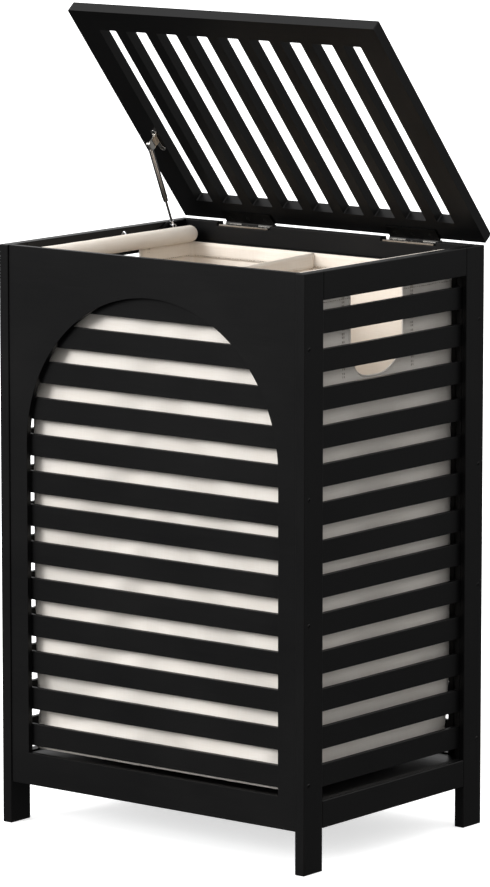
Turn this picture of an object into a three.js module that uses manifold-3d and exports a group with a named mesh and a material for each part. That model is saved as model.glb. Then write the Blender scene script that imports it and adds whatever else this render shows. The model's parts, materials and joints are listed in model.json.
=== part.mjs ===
// Laundry hamper with a hinged lid: a slatted black cabinet on four legs, an arched front board,
// a slotted lid on two butt hinges held open by a telescopic stay, and a divided fabric liner that
// hangs from two dowels in four hooks.
//
// Frame, in millimetres: +X to the right, +Y to the back, +Z up. The origin is on the floor, under
// the middle of the whole outline with the lid open.

import * as THREE from 'three';
import { mergeVertices } from 'three/addons/utils/BufferGeometryUtils.js';
import Module from 'manifold-3d';

const wasm = await Module();
wasm.setup();

// ---------------------------------------------------------------- driving dimensions

const WIDTH = 450; // across the side panels
const DEPTH = 344; // front edge to back edge of the side panels
const BODY_HEIGHT = 690; // floor to the top edge of the panels
const GAP = 0.3; // joint gap between pieces that touch

const PANEL = 13; // thickness of legs, rails and stiles
const LEG_WIDTH = 35; // leg width, along the depth
const LEG_CLEARANCE = 50; // floor to the underside of the rails
const TOP_RAIL = 33; // height of the side and back top rails
const BOTTOM_RAIL = 32; // height of the side and back bottom rails
const BACK_STILE = 26; // width of the two back stiles
const REBATE = 8; // how far a slat board reaches into the frame around it

const SLAT_THICKNESS = 6;
const SLAT_WIDTH = 26;
const SLAT_COUNT = 13;
const TOP_BAND = 46.3; // body top to the top edge of the highest slat
const BOTTOM_GAP = 13.9; // bottom rail to the lowest slat
const SHORT_STEP = 3.8; // one slat step is this much shorter than the others
const SHORT_AFTER_FRONT = 5; // the short step follows this slat on the front
const SHORT_AFTER_SIDE = 6; // and this slat on the sides and the back

const FRONT_BOARD = 7; // thickness of the arched board
const FRONT_SETBACK = 2; // from the side panels' front edges back to the board
const FRONT_STILE = 26; // board width beside the arch
const FRONT_SILL = 38; // board height under the arch opening

const FLOOR_BOARD = 9; // thickness of the bottom board
const FLOOR_BELOW_RAIL = 2; // its top face is this far under the top of the bottom rails

const LID_THICKNESS = 13.5;
const LID_REST_GAP = 0.4; // lid underside above the panels when closed
const LID_SIDE_MARGIN = 32.5;
const LID_FRONT_MARGIN = 30.2;
const LID_BACK_MARGIN = 29;
const LID_SLOTS = 9;
const LID_BAR = 15.5; // width of the bars between the slots
const LID_END_SLOT = 25; // width of the first and the last slot
const LID_SLOT_CORNER = 1.5;
const LID_CORNER = 1.5;
const LID_OPEN = THREE.MathUtils.degToRad(50); // opening angle at rest

const HINGE_LENGTH = 74;
const HINGE_PLACE = 123; // each hinge's middle, from the cabinet's middle
const HINGE_LEAF = 2; // leaf thickness
const HINGE_LEAF_WIDTH = 16; // of the leaf on the lid
const KNUCKLE_RADIUS = 2.8;
const HINGE_PIN_RADIUS = 1.2;
const HINGE_END_GAP = 3; // notch clearance beyond each end of the hinge
const NOTCH_DEPTH = 5;
const LEAF_HOLE_RADIUS = 1.8;
const LEAF_HOLE_SPREAD = 0.7; // outer holes, as a share of half the hinge
const PIN_PROUD = 0.5; // how far the pin stands out of the knuckles

const STAY_FROM_PANEL = 5.8; // stay axis, from the panel's inner face
const STAY_ON_LID = 132; // upper pivot, from the lid's back edge
const STAY_UNDER_LID = 9; // upper pivot, under the lid
const STAY_FROM_BACK = 44; // lower pivot, from the cabinet's back
const STAY_UNDER_TOP = 5.2; // lower pivot, under the body's top edge
const STAY_TUBE_RADIUS = 3.3;
const STAY_ROD_RADIUS = 1.5;
const STAY_TUBE_LENGTH = 70;
const STAY_EYE_RADIUS = 3.5;
const STAY_EYE_WIDTH = 4.6;
const STAY_NECK = 7; // from an eye's axis to the end of its neck
const STAY_OVERLAP = 16; // how far the rod reaches into the tube at rest
const STAY_MOUTH = 6; // length of the tube's narrower mouth
const STAY_MOUTH_STEP = 0.3; // and how much smaller its radius is
const STUD_RADIUS = 1.6;
const STUD_PROUD = 0.8; // how far the lower stud stands out of its eye
const BRACKET_PLATE = 1.5;
const EAR_HALF = 6.5; // half the width of the lid bracket's ear
const LUG_PLACE = 13; // screw lugs of the lid bracket, either side of its pivot
const LUG_OUT = 5; // their middles, from the ear's outer face
const LUG_RADIUS = 4;
const PLATE_HALF = 24; // half the length of the plate on the panel
const PLATE_RISE = 6; // its lower edge, above the underside of the top rail
const PLATE_UNDER_TOP = 1; // its upper edge, under the body's top edge
const PLATE_SLOPE = 8; // how far that edge drops towards the front
const PLATE_SCREWS = 17; // its screw holes, either side of the pivot

const DOWEL_RADIUS = 8;
const DOWEL_FROM_PANEL = 22; // dowel axis, from the side panel's inner face
const DOWEL_BELOW_TOP = 14.5; // dowel axis, under the body's top edge
const SLEEVE_WALL = 2;
const SLEEVE_EASE = 0.4; // between dowel and sleeve
const SLEEVE_END = 3; // thickness of the sleeve's closed back end
const DOWEL_BARE_END = 6; // how far the dowel stands out of the front end of its sleeve
const DOWEL_BACK_SHORT = 4; // and ends inside the closed back end
const HOOK_WIRE_RADIUS = 1;
const HOOK_ARCH = 6; // between the two legs of the arch over the dowel's height
const HOOK_UNDER_TOP = 2.8; // top of that arch, under the body's top edge
const HOOK_FROM_FRONT = 21; // front hook, from the cabinet's front
const HOOK_FROM_BACK = 142; // back hook, from the cabinet's back
const HOOK_SLOT = 3; // half width of the slot in the sleeve round the back hook

const LINER_WALL = 2;
const LINER_FROM_PANEL = 16; // side wall, from the side panel's inner face
const LINER_FROM_BACK = 9; // back and front walls, from the boards' inner faces
const LINER_RIM_DROP = 25; // front and back rims, under the body's top edge
const LINER_LIFT = 9; // above the bottom board
const HANDLE_HALF_LENGTH = 51;
const HANDLE_HEIGHT = 110;
const HANDLE_CORNER = 26;
const DIVIDER_OFFSET = -8; // divider's middle, from the cabinet's middle

// ---------------------------------------------------------------- derived places

const innerX = WIDTH / 2 - PANEL; // inner faces of the side panels
const frontY = -DEPTH / 2;
const backY = DEPTH / 2;
const boardFrontY = frontY + FRONT_SETBACK;
const slatFrontY = boardFrontY + FRONT_BOARD + GAP;
const slatBackY = slatFrontY + SLAT_THICKNESS;
const backInnerY = backY - PANEL;

const railBottom = LEG_CLEARANCE;
const railTop = LEG_CLEARANCE + BOTTOM_RAIL;
const topRailUnder = BODY_HEIGHT - TOP_RAIL;
const highestSlatTop = BODY_HEIGHT - TOP_BAND;
const slatPitch = (highestSlatTop - SLAT_WIDTH - railTop - BOTTOM_GAP + SHORT_STEP)
  / (SLAT_COUNT - 1);
const floorTop = railTop - FLOOR_BELOW_RAIL;

const lidUnder = BODY_HEIGHT + LID_REST_GAP;
const bodyLeafTop = BODY_HEIGHT - NOTCH_DEPTH + GAP + HINGE_LEAF;
const lidLeafUnder = lidUnder - GAP - HINGE_LEAF;
const pivotY = backY + KNUCKLE_RADIUS + GAP;
const pivotZ = (bodyLeafTop + lidLeafUnder) / 2;

const stayX = -(innerX - STAY_FROM_PANEL);
const lowerPivotY = backY - STAY_FROM_BACK;
const lowerPivotZ = BODY_HEIGHT - STAY_UNDER_TOP;
const upperPivotClosed = new THREE.Vector3(stayX, backY - STAY_ON_LID, lidUnder - STAY_UNDER_LID);

const dowelX = innerX - DOWEL_FROM_PANEL;
const dowelZ = BODY_HEIGHT - DOWEL_BELOW_TOP;
const sleeveInner = DOWEL_RADIUS + SLEEVE_EASE;
const sleeveOuter = sleeveInner + SLEEVE_WALL;
const hookRound = DOWEL_RADIUS + HOOK_WIRE_RADIUS + GAP;
const linerX = innerX - LINER_FROM_PANEL;
const linerFrontY = slatBackY + LINER_FROM_BACK;
const linerBackY = backInnerY - LINER_FROM_BACK;
const linerBottom = floorTop + LINER_LIFT;
const linerRim = BODY_HEIGHT - LINER_RIM_DROP;
const hookPlaces = { front: frontY + HOOK_FROM_FRONT, back: backY - HOOK_FROM_BACK };

// ---------------------------------------------------------------- solids

// A closed geometry as a solid that can be joined and cut.
function toSolid(geometry) {
  const bare = new THREE.BufferGeometry();
  bare.setAttribute('position', geometry.getAttribute('position').clone());
  if (geometry.index) bare.setIndex(geometry.index.clone());
  const merged = mergeVertices(bare, 1e-4);
  return new wasm.Manifold(new wasm.Mesh({
    numProp: 3,
    vertProperties: merged.getAttribute('position').array,
    triVerts: new Uint32Array(merged.index.array),
  }));
}

// A solid as a flat-shaded geometry.
function toGeometry(solid) {
  const mesh = solid.getMesh();
  const indexed = new THREE.BufferGeometry();
  indexed.setAttribute('position', new THREE.BufferAttribute(mesh.vertProperties, 3));
  indexed.setIndex(new THREE.BufferAttribute(mesh.triVerts, 1));
  const geometry = indexed.toNonIndexed();
  geometry.computeVertexNormals();
  return geometry;
}

function cut(geometry, tools) {
  return toGeometry(tools.reduce((left, tool) => left.subtract(toSolid(tool)), toSolid(geometry)));
}

function join(geometries) {
  return toGeometry(geometries.map(toSolid).reduce((left, right) => left.add(right)));
}

// A block between two opposite corners, given in any order.
function block(x0, x1, y0, y1, z0, z1) {
  return new THREE.BoxGeometry(Math.abs(x1 - x0), Math.abs(y1 - y0), Math.abs(z1 - z0))
    .translate((x0 + x1) / 2, (y0 + y1) / 2, (z0 + z1) / 2);
}

// A round bar along X, between x0 and x1.
function barAlongX(radius, x0, x1, y, z, sides = 16) {
  return new THREE.CylinderGeometry(radius, radius, Math.abs(x1 - x0), sides)
    .rotateZ(Math.PI / 2)
    .translate((x0 + x1) / 2, y, z);
}

// A round bar along Y, between y0 and y1.
function barAlongY(radius, y0, y1, x, z, sides = 24) {
  return new THREE.CylinderGeometry(radius, radius, Math.abs(y1 - y0), sides)
    .translate(x, (y0 + y1) / 2, z);
}

// A round bar along Z, between z0 and z1.
function barAlongZ(radius, z0, z1, x = 0, y = 0, sides = 16) {
  return new THREE.CylinderGeometry(radius, radius, Math.abs(z1 - z0), sides)
    .rotateX(Math.PI / 2)
    .translate(x, y, (z0 + z1) / 2);
}

function extrude(shape, thickness, curveSegments) {
  return new THREE.ExtrudeGeometry(shape, { depth: thickness, bevelEnabled: false, curveSegments });
}

// Plates cut from an outline: standing across the cabinet, standing along it, and lying.
function plateXZ(shape, thickness, y, curveSegments = 6) {
  return extrude(shape, thickness, curveSegments).rotateX(Math.PI / 2).translate(0, y + thickness, 0);
}

const turnToYZ = new THREE.Matrix4().makeBasis(
  new THREE.Vector3(0, 1, 0), new THREE.Vector3(0, 0, 1), new THREE.Vector3(1, 0, 0));

function plateYZ(shape, thickness, x, curveSegments = 6) {
  return extrude(shape, thickness, curveSegments).applyMatrix4(turnToYZ).translate(x, 0, 0);
}

function plateXY(shape, thickness, z, curveSegments = 6) {
  return extrude(shape, thickness, curveSegments).translate(0, 0, z);
}

// A rectangle with rounded corners, as an outline or as a hole in one.
function roundedRectangle(path, x0, x1, y0, y1, radius) {
  path.moveTo(x0 + radius, y0);
  path.lineTo(x1 - radius, y0);
  path.absarc(x1 - radius, y0 + radius, radius, -Math.PI / 2, 0);
  path.lineTo(x1, y1 - radius);
  path.absarc(x1 - radius, y1 - radius, radius, 0, Math.PI / 2);
  path.lineTo(x0 + radius, y1);
  path.absarc(x0 + radius, y1 - radius, radius, Math.PI / 2, Math.PI);
  path.lineTo(x0, y0 + radius);
  path.absarc(x0 + radius, y0 + radius, radius, Math.PI, Math.PI * 1.5);
  return path;
}

function rectangle(path, x0, x1, y0, y1) {
  path.moveTo(x0, y0);
  path.lineTo(x1, y0);
  path.lineTo(x1, y1);
  path.lineTo(x0, y1);
  path.closePath();
  return path;
}

// ---------------------------------------------------------------- finishes

const FINISHES = {
  paint: { color: 0x1d1d1e, roughness: 0.48, metalness: 0 },
  nickel: { color: 0xc9c9c6, roughness: 0.22, metalness: 1 },
  blackSteel: { color: 0x17171a, roughness: 0.4, metalness: 0.6 },
  beech: { color: 0xc9a377, roughness: 0.6, metalness: 0 },
  canvas: { color: 0xe4dcd2, roughness: 0.95, metalness: 0 },
};

const hamper = new THREE.Group();
const lid = new THREE.Group();
hamper.add(lid);

function addPiece(group, name, geometry, finish) {
  const piece = new THREE.Mesh(geometry, new THREE.MeshStandardMaterial(FINISHES[finish]));
  piece.name = name;
  group.add(piece);
}

// ---------------------------------------------------------------- slats

// The lower edge of one slat, counted from the top.
function slatUnder(index, shortAfter) {
  const shortening = index > shortAfter ? SHORT_STEP : 0;
  return highestSlatTop - SLAT_WIDTH - index * slatPitch + shortening;
}

// One board with a window between every two slats. It fills an opening and reaches into the
// rebates of the frame around it.
function slatBoard(halfOpening, openingUnder, openingTop) {
  const reach = REBATE - GAP;
  const outline = rectangle(new THREE.Shape(), -halfOpening - reach, halfOpening + reach,
    openingUnder - reach, openingTop + reach);
  let windowTop = openingTop;
  for (let index = 0; index <= SLAT_COUNT; index += 1) {
    const isLast = index === SLAT_COUNT;
    const under = isLast ? openingUnder : slatUnder(index, SHORT_AFTER_SIDE);
    const windowUnder = isLast ? openingUnder : under + SLAT_WIDTH;
    outline.holes.push(rectangle(new THREE.Path(), -halfOpening, halfOpening, windowUnder, windowTop));
    windowTop = under;
  }
  return outline;
}

// ---------------------------------------------------------------- side panels

function addSidePanel(side, word) {
  const outer = side * WIDTH / 2;
  const inner = side * innerX;
  const rebateFloor = side * (innerX + SLAT_THICKNESS + GAP);
  const halfOpening = DEPTH / 2 - LEG_WIDTH;
  const boardUnder = railTop - REBATE;
  const boardTop = topRailUnder + REBATE;
  const pastInner = side * (innerX - 1);

  for (const [place, edgeY, openingY] of [
    ['front', frontY, -halfOpening], ['back', backY, halfOpening]]) {
    const leg = block(outer, inner, edgeY, openingY, 0, BODY_HEIGHT);
    const rebateY = openingY + Math.sign(openingY) * REBATE;
    const rebate = block(rebateFloor, pastInner, rebateY, openingY - Math.sign(openingY),
      boardUnder, boardTop);
    addPiece(hamper, `${place}_${word}_leg`, cut(leg, [rebate]), 'paint');
  }

  const railHalf = halfOpening - GAP;
  const topRail = block(outer, inner, -railHalf, railHalf, topRailUnder, BODY_HEIGHT);
  const topRebate = block(rebateFloor, pastInner, -DEPTH, DEPTH, topRailUnder - 1, boardTop);
  addPiece(hamper, `${word}_top_rail`, cut(topRail, [topRebate]), 'paint');
  const bottomRail = block(outer, inner, -railHalf, railHalf, railBottom, railTop);
  const bottomRebate = block(rebateFloor, pastInner, -DEPTH, DEPTH, boardUnder, railTop + 1);
  addPiece(hamper, `${word}_bottom_rail`, cut(bottomRail, [bottomRebate]), 'paint');

  const board = slatBoard(halfOpening, railTop, topRailUnder);
  const boardX = side > 0 ? innerX : -innerX - SLAT_THICKNESS;
  addPiece(hamper, `${word}_slat_board`, plateYZ(board, SLAT_THICKNESS, boardX), 'paint');
}

// ---------------------------------------------------------------- front

function addFront() {
  const halfBoard = innerX - GAP;
  const archRadius = innerX - FRONT_STILE;
  const springing = highestSlatTop - archRadius;
  const sill = railBottom + FRONT_SILL;
  const outline = rectangle(new THREE.Shape(), -halfBoard, halfBoard, railBottom, BODY_HEIGHT);
  const arch = new THREE.Path();
  arch.moveTo(-archRadius, sill);
  arch.lineTo(archRadius, sill);
  arch.lineTo(archRadius, springing);
  arch.absarc(0, springing, archRadius, 0, Math.PI);
  arch.closePath();
  outline.holes.push(arch);
  addPiece(hamper, 'front_arch_board', plateXZ(outline, FRONT_BOARD, boardFrontY, 48), 'paint');

  for (let index = 0; index < SLAT_COUNT; index += 1) {
    const under = slatUnder(index, SHORT_AFTER_FRONT);
    const number = String(index + 1).padStart(2, '0');
    const slat = block(-halfBoard, halfBoard, slatFrontY, slatBackY, under, under + SLAT_WIDTH);
    addPiece(hamper, `front_slat_${number}`, slat, 'paint');
  }
}

// ---------------------------------------------------------------- back and bottom

function addBack() {
  const halfBoard = innerX - GAP;
  const halfOpening = innerX - BACK_STILE;
  const rebateFloor = backInnerY + SLAT_THICKNESS + GAP;
  const boardUnder = railTop - REBATE;
  const boardTop = topRailUnder + REBATE;
  const pastInner = backInnerY - 1;

  const topRail = block(-halfBoard, halfBoard, backInnerY, backY, topRailUnder, BODY_HEIGHT);
  const rebates = [block(-halfOpening - REBATE, halfOpening + REBATE, pastInner, rebateFloor,
    topRailUnder - 1, boardTop)];
  const notchHalf = HINGE_LENGTH / 2 + HINGE_END_GAP;
  for (const place of [-HINGE_PLACE, HINGE_PLACE]) {
    rebates.push(block(place - notchHalf, place + notchHalf, pastInner, backY + 1,
      BODY_HEIGHT - NOTCH_DEPTH, BODY_HEIGHT + 1));
  }
  addPiece(hamper, 'back_top_rail', cut(topRail, rebates), 'paint');

  const bottomRail = block(-halfBoard, halfBoard, backInnerY, backY, railBottom, railTop);
  const bottomRebate = block(-halfOpening - REBATE, halfOpening + REBATE, pastInner, rebateFloor,
    boardUnder, railTop + 1);
  addPiece(hamper, 'back_bottom_rail', cut(bottomRail, [bottomRebate]), 'paint');

  for (const [side, word] of [[-1, 'left'], [1, 'right']]) {
    const stile = block(side * halfBoard, side * halfOpening, backInnerY, backY,
      railTop + GAP, topRailUnder - GAP);
    const rebate = block(side * (halfOpening - 1), side * (halfOpening + REBATE), pastInner,
      rebateFloor, railBottom, BODY_HEIGHT);
    addPiece(hamper, `back_${word}_stile`, cut(stile, [rebate]), 'paint');
  }

  const board = slatBoard(halfOpening, railTop, topRailUnder);
  addPiece(hamper, 'back_slat_board', plateXZ(board, SLAT_THICKNESS, backInnerY), 'paint');
}

function addBottomBoard() {
  const halfBoard = innerX - GAP;
  const board = block(-halfBoard, halfBoard, boardFrontY + FRONT_BOARD + GAP, backInnerY - GAP,
    floorTop - FLOOR_BOARD, floorTop);
  addPiece(hamper, 'bottom_board', board, 'paint');
}

// ---------------------------------------------------------------- lid

// Pieces of the lid are drawn where they are with the lid closed, then moved into the lid's
// own group, which turns about the hinge pin.
function addToLid(name, geometry, finish) {
  addPiece(lid, name, geometry.translate(0, -pivotY, -pivotZ), finish);
}

function addLidBoard() {
  const outline = roundedRectangle(new THREE.Shape(), -WIDTH / 2, WIDTH / 2, frontY, backY, LID_CORNER);
  const middleSlots = LID_SLOTS - 2;
  const slotWidth = (WIDTH - 2 * LID_SIDE_MARGIN - 2 * LID_END_SLOT - (LID_SLOTS - 1) * LID_BAR)
    / middleSlots;
  let left = -WIDTH / 2 + LID_SIDE_MARGIN;
  for (let index = 0; index < LID_SLOTS; index += 1) {
    const isEnd = index === 0 || index === LID_SLOTS - 1;
    const right = left + (isEnd ? LID_END_SLOT : slotWidth);
    outline.holes.push(roundedRectangle(new THREE.Path(), left, right,
      frontY + LID_FRONT_MARGIN, backY - LID_BACK_MARGIN, LID_SLOT_CORNER));
    left = right + LID_BAR;
  }
  addToLid('lid_board', plateXY(outline, LID_THICKNESS, lidUnder, 3), 'paint');
}

// ---------------------------------------------------------------- hinges

// A leaf with its knuckles, which lie between the given places along the pin. The plate stops
// short of the barrel where the other leaf's knuckles turn.
function hingeLeaf(middle, plateFarY, plateUnder, knuckles) {
  const half = HINGE_LENGTH / 2;
  const plateNearY = pivotY - KNUCKLE_RADIUS - GAP;
  const pieces = [block(middle - half, middle + half, plateFarY, plateNearY, plateUnder,
    plateUnder + HINGE_LEAF)];
  for (const [start, end] of knuckles) {
    pieces.push(block(middle + start, middle + end, plateNearY - 1, pivotY, plateUnder,
      plateUnder + HINGE_LEAF));
    pieces.push(barAlongX(KNUCKLE_RADIUS, middle + start, middle + end, pivotY, pivotZ));
  }
  const holes = [barAlongX(HINGE_PIN_RADIUS + GAP, middle - half - 1, middle + half + 1,
    pivotY, pivotZ, 12)];
  const holeY = (plateFarY + plateNearY) / 2;
  for (const place of [-half * LEAF_HOLE_SPREAD, 0, half * LEAF_HOLE_SPREAD]) {
    holes.push(barAlongZ(LEAF_HOLE_RADIUS, plateUnder - 1, plateUnder + HINGE_LEAF + 1,
      middle + place, holeY, 12));
  }
  return cut(join(pieces), holes);
}

function addHinge(side, word) {
  const middle = side * HINGE_PLACE;
  const half = HINGE_LENGTH / 2;
  const third = HINGE_LENGTH / 6;
  const bodyKnuckles = [[-half, -third - GAP], [third + GAP, half]];
  const bodyLeaf = hingeLeaf(middle, backInnerY + GAP, bodyLeafTop - HINGE_LEAF, bodyKnuckles);
  addPiece(hamper, `${word}_hinge_body_leaf`, bodyLeaf, 'nickel');
  const lidLeaf = hingeLeaf(middle, backY - HINGE_LEAF_WIDTH, lidLeafUnder, [[-third, third]]);
  addToLid(`${word}_hinge_lid_leaf`, lidLeaf, 'blackSteel');
  const pin = barAlongX(HINGE_PIN_RADIUS, middle - half - PIN_PROUD, middle + half + PIN_PROUD,
    pivotY, pivotZ, 12);
  addPiece(hamper, `${word}_hinge_pin`, pin, 'nickel');
}

// ---------------------------------------------------------------- stay

// The plate under the lid: two screw lugs and an ear whose stud ends just beside the stay's eye.
function addStayLidBracket() {
  const plateTop = lidUnder - GAP;
  const earX = stayX + STAY_TUBE_RADIUS + GAP;
  const { y, z } = upperPivotClosed;
  const lug = earX + LUG_OUT;
  const waist = lug + BRACKET_PLATE;
  const outline = new THREE.Shape();
  outline.moveTo(earX, y - EAR_HALF);
  outline.absarc(lug, y - LUG_PLACE, LUG_RADIUS, Math.PI, 0);
  outline.lineTo(waist, y - EAR_HALF);
  outline.lineTo(waist, y + EAR_HALF);
  outline.absarc(lug, y + LUG_PLACE, LUG_RADIUS, 0, Math.PI);
  outline.lineTo(earX, y + EAR_HALF);
  outline.closePath();
  const plate = plateXY(outline, BRACKET_PLATE, plateTop - BRACKET_PLATE, 6);
  const ear = join([
    block(earX, earX + BRACKET_PLATE, y - EAR_HALF, y + EAR_HALF, z, plateTop),
    barAlongX(EAR_HALF, earX, earX + BRACKET_PLATE, y, z),
  ]);
  const studEnd = stayX + STAY_EYE_WIDTH / 2 + GAP;
  const stud = barAlongX(STUD_RADIUS, studEnd, earX + 1, y, z, 12);
  const holes = [-LUG_PLACE, LUG_PLACE].map((place) => barAlongZ(LEAF_HOLE_RADIUS,
    plateTop - 2 * BRACKET_PLATE, plateTop + 1, lug, y + place, 12));
  addToLid('stay_lid_bracket', cut(join([plate, ear, stud]), holes), 'nickel');
}

// The plate on the left panel, with the stud that the stay's lower eye turns on.
function addStayBodyBracket() {
  const plateX = -innerX + GAP;
  const outline = new THREE.Shape();
  const under = topRailUnder + PLATE_RISE;
  const top = BODY_HEIGHT - PLATE_UNDER_TOP;
  outline.moveTo(lowerPivotY - PLATE_HALF, under);
  outline.lineTo(lowerPivotY + PLATE_HALF, under);
  outline.lineTo(lowerPivotY + PLATE_HALF, top);
  outline.lineTo(lowerPivotY - EAR_HALF, top);
  outline.lineTo(lowerPivotY - PLATE_HALF, top - PLATE_SLOPE);
  outline.closePath();
  const plate = plateYZ(outline, BRACKET_PLATE, plateX);
  const stud = barAlongX(STUD_RADIUS, plateX + BRACKET_PLATE / 2, stayX + STAY_EYE_WIDTH / 2 + STUD_PROUD,
    lowerPivotY, lowerPivotZ, 12);
  const holes = [-PLATE_SCREWS, PLATE_SCREWS].map((place) => barAlongX(LEAF_HOLE_RADIUS, plateX - 1,
    plateX + BRACKET_PLATE + 1, lowerPivotY + place, under + PLATE_RISE, 12));
  addPiece(hamper, 'stay_body_bracket', cut(join([plate, stud]), holes), 'blackSteel');
}

// An eye with a short neck along +Z, on an axis along X.
function stayEye() {
  const half = STAY_EYE_WIDTH / 2;
  const body = join([
    barAlongX(STAY_EYE_RADIUS, -half, half, 0, 0),
    barAlongZ(half, 0, STAY_NECK),
  ]);
  return cut(body, [barAlongX(STUD_RADIUS + GAP, -half - 1, half + 1, 0, 0, 12)]);
}

// The stay stands between its two pivots, with the tube on the lid's end and the rod below.
function addStay(upperPivot) {
  const stay = new THREE.Group();
  stay.position.set(stayX, lowerPivotY, lowerPivotZ);
  const reach = new THREE.Vector3().subVectors(upperPivot, stay.position);
  stay.rotation.x = Math.atan2(-reach.y, reach.z);
  hamper.add(stay);
  const length = reach.length();
  const tubeTop = length - STAY_NECK - GAP;
  const tubeUnder = tubeTop - STAY_TUBE_LENGTH;
  const bore = STAY_ROD_RADIUS + GAP;

  addPiece(stay, 'stay_lower_eye', stayEye(), 'nickel');
  const rod = barAlongZ(STAY_ROD_RADIUS, STAY_NECK + GAP, tubeUnder + STAY_OVERLAP);
  addPiece(stay, 'stay_rod', rod, 'nickel');
  const tube = join([
    barAlongZ(STAY_TUBE_RADIUS - STAY_MOUTH_STEP, tubeUnder, tubeUnder + STAY_MOUTH, 0, 0, 20),
    barAlongZ(STAY_TUBE_RADIUS, tubeUnder + STAY_MOUTH - 1, tubeTop, 0, 0, 20),
  ]);
  const hollow = barAlongZ(bore, tubeUnder - 1, tubeTop - STAY_MOUTH, 0, 0, 12);
  addPiece(stay, 'stay_tube', cut(tube, [hollow]), 'nickel');
  addPiece(stay, 'stay_upper_eye', stayEye().rotateX(Math.PI).translate(0, 0, length), 'nickel');
}

// ---------------------------------------------------------------- hooks and dowels

// A bent wire hook: out of the panel, over in a small arch, and round under the dowel. Its bend
// lies in the plane across the cabinet, at distance out from the panel and height over the dowel.
function addHook(side, word, place) {
  const farLeg = DOWEL_FROM_PANEL - hookRound;
  const nearLeg = farLeg - HOOK_ARCH;
  const archTop = DOWEL_BELOW_TOP - HOOK_UNDER_TOP;
  const archFoot = archTop - 0.6 * HOOK_ARCH;
  const points = [[GAP, archFoot - HOOK_ARCH], [nearLeg / 2, archFoot - HOOK_ARCH],
    [nearLeg, archFoot], [(nearLeg + farLeg) / 2, archTop], [farLeg, archFoot]];
  for (let degrees = 180; degrees <= 285; degrees += 21) {
    const angle = THREE.MathUtils.degToRad(degrees);
    points.push([DOWEL_FROM_PANEL + hookRound * Math.cos(angle), hookRound * Math.sin(angle)]);
  }
  const path = new THREE.CatmullRomCurve3(points.map(([out, up]) => new THREE.Vector3(
    side * (innerX - out), hookPlaces[place], dowelZ + up)));
  const section = new THREE.Shape();
  section.absarc(0, 0, HOOK_WIRE_RADIUS, 0, Math.PI * 2);
  const hook = new THREE.ExtrudeGeometry(section, {
    extrudePath: path, steps: 30, bevelEnabled: false, curveSegments: 4,
  });
  addPiece(hamper, `${place}_${word}_hook`, hook, 'nickel');
}

function addDowel(side, word) {
  const dowel = barAlongY(DOWEL_RADIUS, linerFrontY - DOWEL_BARE_END, linerBackY - DOWEL_BACK_SHORT,
    side * dowelX, dowelZ);
  addPiece(hamper, `${word}_dowel`, dowel, 'beech');
}

// ---------------------------------------------------------------- liner

// The sewn bag: four walls and a bottom, a sleeve round each dowel, closed at its back end, and a
// handle window under each sleeve. A slot in each sleeve lets the back hook in.
function addLiner() {
  const shell = cut(block(-linerX, linerX, linerFrontY, linerBackY, linerBottom, linerRim), [
    block(-linerX + LINER_WALL, linerX - LINER_WALL, linerFrontY + LINER_WALL,
      linerBackY - LINER_WALL, linerBottom + LINER_WALL, linerRim + 1),
  ]);
  const window = roundedRectangle(new THREE.Shape(), -HANDLE_HALF_LENGTH, HANDLE_HALF_LENGTH,
    linerRim - HANDLE_HEIGHT, linerRim + HANDLE_CORNER, HANDLE_CORNER);
  const windowTool = plateYZ(window, 2 * linerX + 2, -linerX - 1, 8);
  const middleY = (linerFrontY + linerBackY) / 2;
  const walls = cut(shell, [windowTool.translate(0, middleY, 0)]);

  const pieces = [walls];
  const hollows = [];
  for (const side of [-1, 1]) {
    const x = side * dowelX;
    pieces.push(block(side * linerX, side * (linerX - LINER_WALL), linerFrontY, linerBackY,
      linerRim - 1, dowelZ - SLEEVE_WALL));
    pieces.push(barAlongY(sleeveOuter, linerFrontY, linerBackY, x, dowelZ));
    hollows.push(barAlongY(sleeveInner, linerFrontY - 1, linerBackY - SLEEVE_END, x, dowelZ));
    hollows.push(block(x + side * (sleeveOuter + 2), x - side * DOWEL_RADIUS * 0.7,
      hookPlaces.back - HOOK_SLOT, hookPlaces.back + HOOK_SLOT, dowelZ - sleeveOuter - 2,
      dowelZ + sleeveOuter + 2));
  }
  addPiece(hamper, 'liner_bag', cut(join(pieces), hollows), 'canvas');

  const divider = block(DIVIDER_OFFSET - LINER_WALL / 2, DIVIDER_OFFSET + LINER_WALL / 2,
    linerFrontY + LINER_WALL + GAP, linerBackY - LINER_WALL - GAP,
    linerBottom + LINER_WALL + GAP, linerRim);
  addPiece(hamper, 'liner_divider', divider, 'canvas');
}

// ---------------------------------------------------------------- assembly

for (const [side, word] of [[-1, 'left'], [1, 'right']]) {
  addSidePanel(side, word);
  addHinge(side, word);
  addDowel(side, word);
  for (const place of Object.keys(hookPlaces)) addHook(side, word, place);
}
addFront();
addBack();
addBottomBoard();
addLidBoard();
addLiner();
addStayLidBracket();
addStayBodyBracket();

lid.position.set(0, pivotY, pivotZ);
lid.rotation.x = -LID_OPEN;
lid.updateMatrix();
const upperPivotInLid = upperPivotClosed.clone().sub(lid.position);
addStay(upperPivotInLid.applyMatrix4(lid.matrix));

// The origin goes under the middle of the outline, front to back.
const outline = new THREE.Box3().setFromObject(hamper);
hamper.position.y = -(outline.min.y + outline.max.y) / 2;

export default hamper;
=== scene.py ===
"""A slatted laundry hamper with a hinged lid and a canvas liner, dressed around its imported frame."""
import functools
import json
import logging
import math
from dataclasses import dataclass, field
from enum import Enum
from typing import Callable, Iterable, Sequence

import bmesh
import bpy
from bmesh.types import BMEdge, BMesh, BMVert
from bpy.types import ID, Material, Mesh, Node, NodeSocket, Object
from mathutils import Matrix, Vector, noise

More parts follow.
